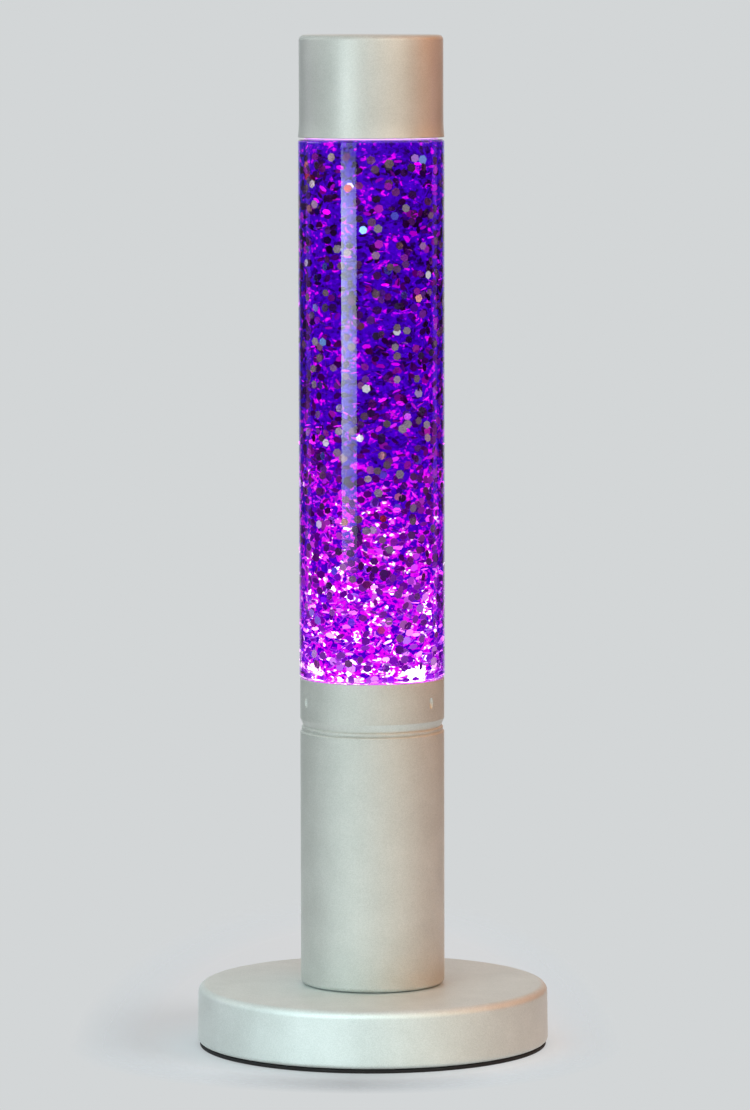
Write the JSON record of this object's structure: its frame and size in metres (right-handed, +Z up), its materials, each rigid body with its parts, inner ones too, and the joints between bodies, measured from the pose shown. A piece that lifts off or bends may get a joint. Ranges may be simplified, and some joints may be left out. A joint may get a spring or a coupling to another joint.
{
  "type": "glitter lava lamp",
  "caption": "Slim table lamp: glass bottle of violet glitter liquid in a satin metal column on a round base, under a loose metal cap, lit from below by a capsule bulb.",
  "frame": {"origin": "on the floor under the column's axis, at the underside of the foot pad", "axes": "+Z up along the lamp's axis, -Y the front of the lamp, +Y the side with the power inlet"},
  "size_m": [0.1358, 0.1358, 0.39],
  "materials": {
    "satin_paint": "satin",
    "foot_foam": "matte",
    "zinc_steel": "satin",
    "cast_iron": "matte",
    "brass": "satin",
    "bare_aluminium": "polished",
    "white_ceramic": "satin",
    "pale_nylon": "matte",
    "black_plastic": "matte",
    "red_silicone": "satin",
    "black_silicone": "satin",
    "tungsten": "matte",
    "clear_glass": "polished",
    "violet_liquid": "gloss"
  },
  "bodies": {
    "stand": {"foot_pad": "foot_foam", "base_shell": "satin_paint", "base_plate": "zinc_steel", "base_screw_1": "zinc_steel", "base_screw_2": "zinc_steel", "base_screw_3": "zinc_steel", "ballast_ring": "cast_iron", "inlet_body": "black_plastic", "inlet_centre_pin": "brass", "inlet_side_blade": "brass", "inlet_nut": "zinc_steel", "column": "satin_paint", "seat_ring": "pale_nylon", "stem": "zinc_steel", "stem_washer_lower": "zinc_steel", "stem_washer_upper": "zinc_steel", "stem_nut_base": "zinc_steel", "stem_nut_column": "zinc_steel", "bracket_nut_lower": "zinc_steel", "bracket_nut_upper": "zinc_steel", "stem_bush": "black_plastic", "holder_bracket": "zinc_steel", "lamp_holder": "white_ceramic", "contact_left": "brass", "contact_right": "brass", "holder_screw_left": "zinc_steel", "holder_screw_right": "zinc_steel", "holder_nut_left": "zinc_steel", "holder_nut_right": "zinc_steel", "reflector": "bare_aluminium", "lead_live": "red_silicone", "lead_return": "black_silicone"},
    "bulb": {"bulb_glass": "clear_glass", "bulb_pin_left": "zinc_steel", "bulb_pin_right": "zinc_steel", "bulb_filament": "tungsten"},
    "filled_bottle": {"bottle": "clear_glass", "glitter_liquid": "violet_liquid", "crown_liner": "pale_nylon", "crown_closure": "zinc_steel"},
    "cover": {"cap": "satin_paint"}
  },
  "joints": [
    {"name": "bottle_lift", "type": "slide", "parent": "stand", "child": "filled_bottle", "axis": [0, 0, 1], "range_m": [0, 0.02]},
    {"name": "cap_lift", "type": "slide", "parent": "filled_bottle", "child": "cover", "axis": [0, 0, 1], "range_m": [0, 0.04]},
    {"name": "bulb_pull", "type": "slide", "parent": "stand", "child": "bulb", "axis": [0, 0, 1], "range_m": [0, 0.009]}
  ]
}
